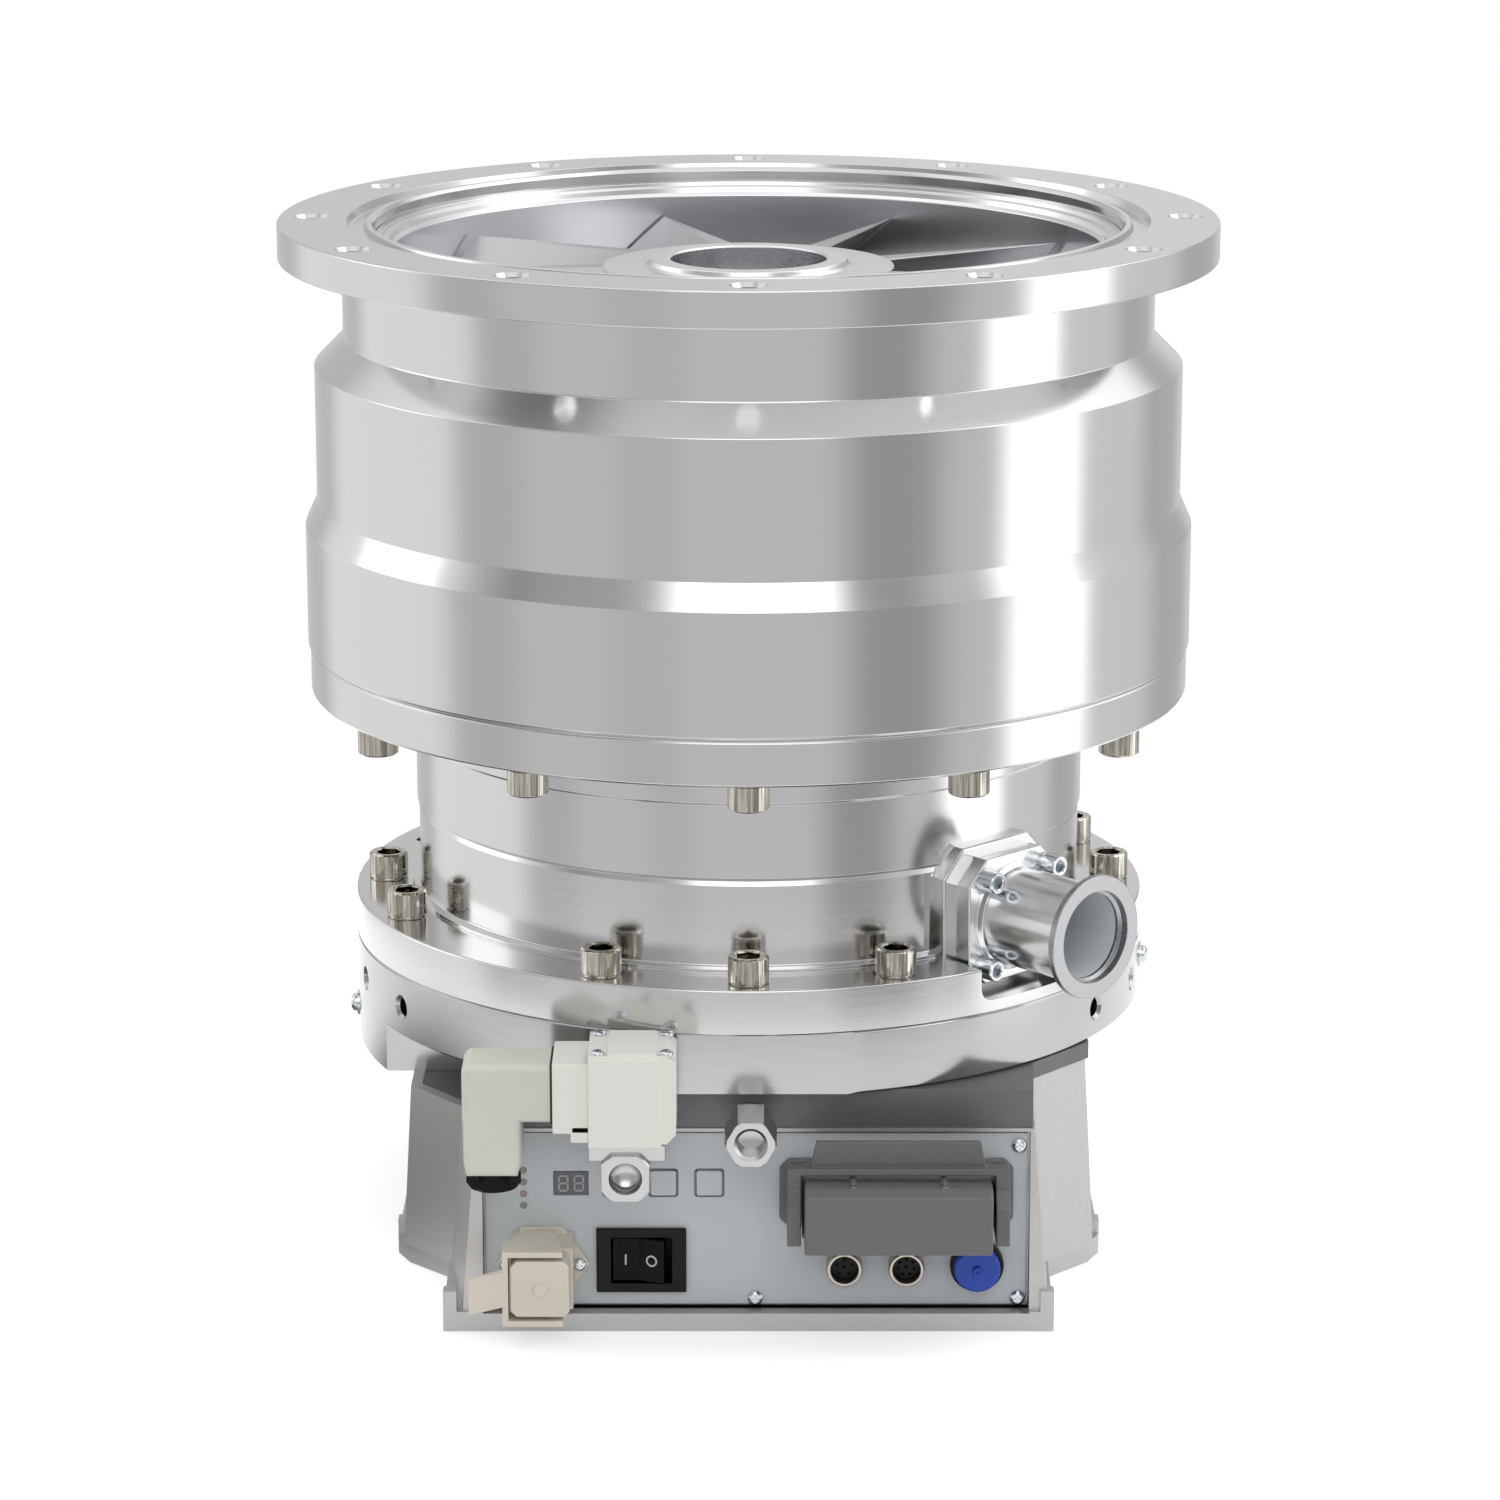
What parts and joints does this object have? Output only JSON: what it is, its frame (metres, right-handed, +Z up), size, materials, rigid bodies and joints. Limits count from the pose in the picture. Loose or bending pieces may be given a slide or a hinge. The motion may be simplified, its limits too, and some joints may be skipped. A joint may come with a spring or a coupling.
{
  "type": "turbomolecular pump",
  "caption": "Flanged turbomolecular vacuum pump with a bladed rotor, a side exhaust port and a built-in controller with panel, connectors and vent valve.",
  "frame": {"origin": "on the rotor axis, at the underside of the controller on which the pump stands", "axes": "+Z up along the rotor axis towards the inlet flange; the control panel faces -Y; +X is to its right"},
  "size_m": [0.4249, 0.43, 0.468],
  "materials": {
    "machined_steel": "fine turned stainless steel",
    "exhaust_steel": "turned stainless steel",
    "base_steel": "machined and bead blasted",
    "rotor_alloy": "milled, satin",
    "stator_alloy": "satin",
    "zinc_screw": "plain cap screw",
    "hidden_steel": "ground",
    "hidden_copper": "varnished laminations and windings",
    "cast_grey": "sand cast, fine grain",
    "lid_grey": "cast plate",
    "panel_grey": "printed sheet panel, pale blue grey",
    "board_green": "circuit board",
    "lamp_clear": "indicator lens, unlit",
    "display_dark": "dark display window",
    "key_plastic": "key caps in the panel's colour",
    "black_plastic": "moulded black plastic",
    "rocker_black": "glossy black rocker",
    "connector_grey": "moulded dark grey plastic",
    "cream_plastic": "moulded cream plastic",
    "lever_grey": "dark grey locking lever",
    "socket_metal": "nickel plated shell",
    "cap_blue": "blue moulded cap",
    "fitting_steel": "machined steel fitting",
    "coil_white": "off-white moulded coil",
    "plug_nylon": "milky nylon plug",
    "gasket_black": "rubber gasket"
  },
  "bodies": {
    "pump": {"inlet_flange": "machined_steel", "inlet_casing": "machined_steel", "spacer_sleeve": "stator_alloy", "stator_top_row": "stator_alloy", "stator_lower_row": "stator_alloy", "spool_flange": "machined_steel", "neck_flange": "machined_steel", "casing_screws": "zinc_screw", "drag_housing": "machined_steel", "base_screws": "zinc_screw", "base_block": "base_steel", "exhaust_port": "exhaust_steel", "upper_radial_magnet": "hidden_copper", "lower_radial_magnet": "hidden_copper", "motor_stator": "hidden_copper", "thrust_magnet": "hidden_copper", "touchdown_bearings": "hidden_steel", "controller_housing": "cast_grey", "controller_lid": "lid_grey", "bottom_plate": "lid_grey", "power_board": "board_green", "front_panel": "panel_grey", "key_board": "board_green", "lamps": "lamp_clear", "display": "display_dark", "switch_bezel": "black_plastic", "power_connector": "cream_plastic", "power_cap": "cream_plastic", "signal_connector": "connector_grey", "signal_cover": "connector_grey", "socket_shells": "socket_metal", "socket_inserts": "black_plastic", "service_port": "black_plastic", "purge_fitting": "fitting_steel", "vent_coil": "coil_white", "plug_gasket": "gasket_black", "angle_plug": "plug_nylon", "gland_nut": "black_plastic", "valve_body": "fitting_steel"},
    "rotor_group": {"rotor": "rotor_alloy", "rotor_top_row": "rotor_alloy", "rotor_lower_row": "rotor_alloy", "shaft": "hidden_steel", "clamp_screw": "hidden_steel"},
    "rocker": {"switch_rocker": "rocker_black"},
    "power_lever_body": {"power_lever": "cream_plastic"},
    "signal_lever_body": {"signal_lever": "lever_grey"},
    "key_1": {"panel_key_1": "key_plastic"},
    "key_2": {"panel_key_2": "key_plastic"},
    "key_3": {"panel_key_3": "key_plastic"},
    "service_cap_body": {"service_cap": "cap_blue"}
  },
  "joints": [
    {"name": "rotor_spin", "type": "hinge", "parent": "pump", "child": "rotor_group", "pos_m": [0, 0, 0.3], "axis": [0, 0, 1], "continuous": true},
    {"name": "power_rocker", "type": "hinge", "parent": "pump", "child": "rocker", "pos_m": [-0.0472, -0.163, 0.0304], "axis": [0, 0, 1], "range_deg": [0, 20]},
    {"name": "power_lever_swing", "type": "hinge", "parent": "pump", "child": "power_lever_body", "pos_m": [-0.0906, -0.181, 0.0291], "axis": [0, 0, 1], "range_deg": [-45, 0]},
    {"name": "signal_lever_swing", "type": "hinge", "parent": "pump", "child": "signal_lever_body", "pos_m": [0.0649, -0.185, 0.062], "axis": [1, 0, 0], "range_deg": [-40, 0]},
    {"name": "panel_key_1_press", "type": "slide", "parent": "pump", "child": "key_1", "axis": [0, 1, 0], "range_m": [0, 0.0004], "stiffness_N_per_m": 500},
    {"name": "panel_key_2_press", "type": "slide", "parent": "pump", "child": "key_2", "axis": [0, 1, 0], "range_m": [0, 0.0004], "stiffness_N_per_m": 500},
    {"name": "panel_key_3_press", "type": "slide", "parent": "pump", "child": "key_3", "axis": [0, 1, 0], "range_m": [0, 0.0004], "stiffness_N_per_m": 500},
    {"name": "service_cap_pull", "type": "slide", "parent": "pump", "child": "service_cap_body", "axis": [0, -1, 0], "range_m": [0, 0.015]}
  ]
}
